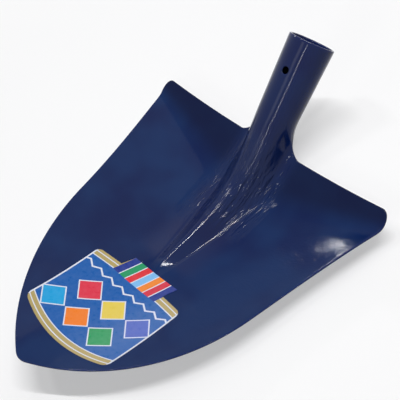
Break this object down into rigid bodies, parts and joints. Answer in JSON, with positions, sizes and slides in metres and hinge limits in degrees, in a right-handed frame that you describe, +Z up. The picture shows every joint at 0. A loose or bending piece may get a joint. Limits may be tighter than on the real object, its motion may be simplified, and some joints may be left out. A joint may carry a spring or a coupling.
{
  "type": "round point shovel head",
  "caption": "Round point shovel head in navy painted steel: a dished pointed blade with turned-up shoulders, a pressed rib, a tapered handle socket and a plain coloured label.",
  "frame": {"origin": "centre of the bounding box on the floor that the belly of the blade rests on", "axes": "+Y from the point of the blade towards the mouth of the socket, +Z up, +X to the right of the blade seen from above with the point nearest"},
  "size_m": [0.2742, 0.3756, 0.1141],
  "materials": {
    "steel_paint": "glossy navy enamel on pressed steel",
    "label_film": null
  },
  "bodies": {
    "root": {"blade": "steel_paint", "socket": "steel_paint", "label": "label_film"}
  },
  "joints": []
}
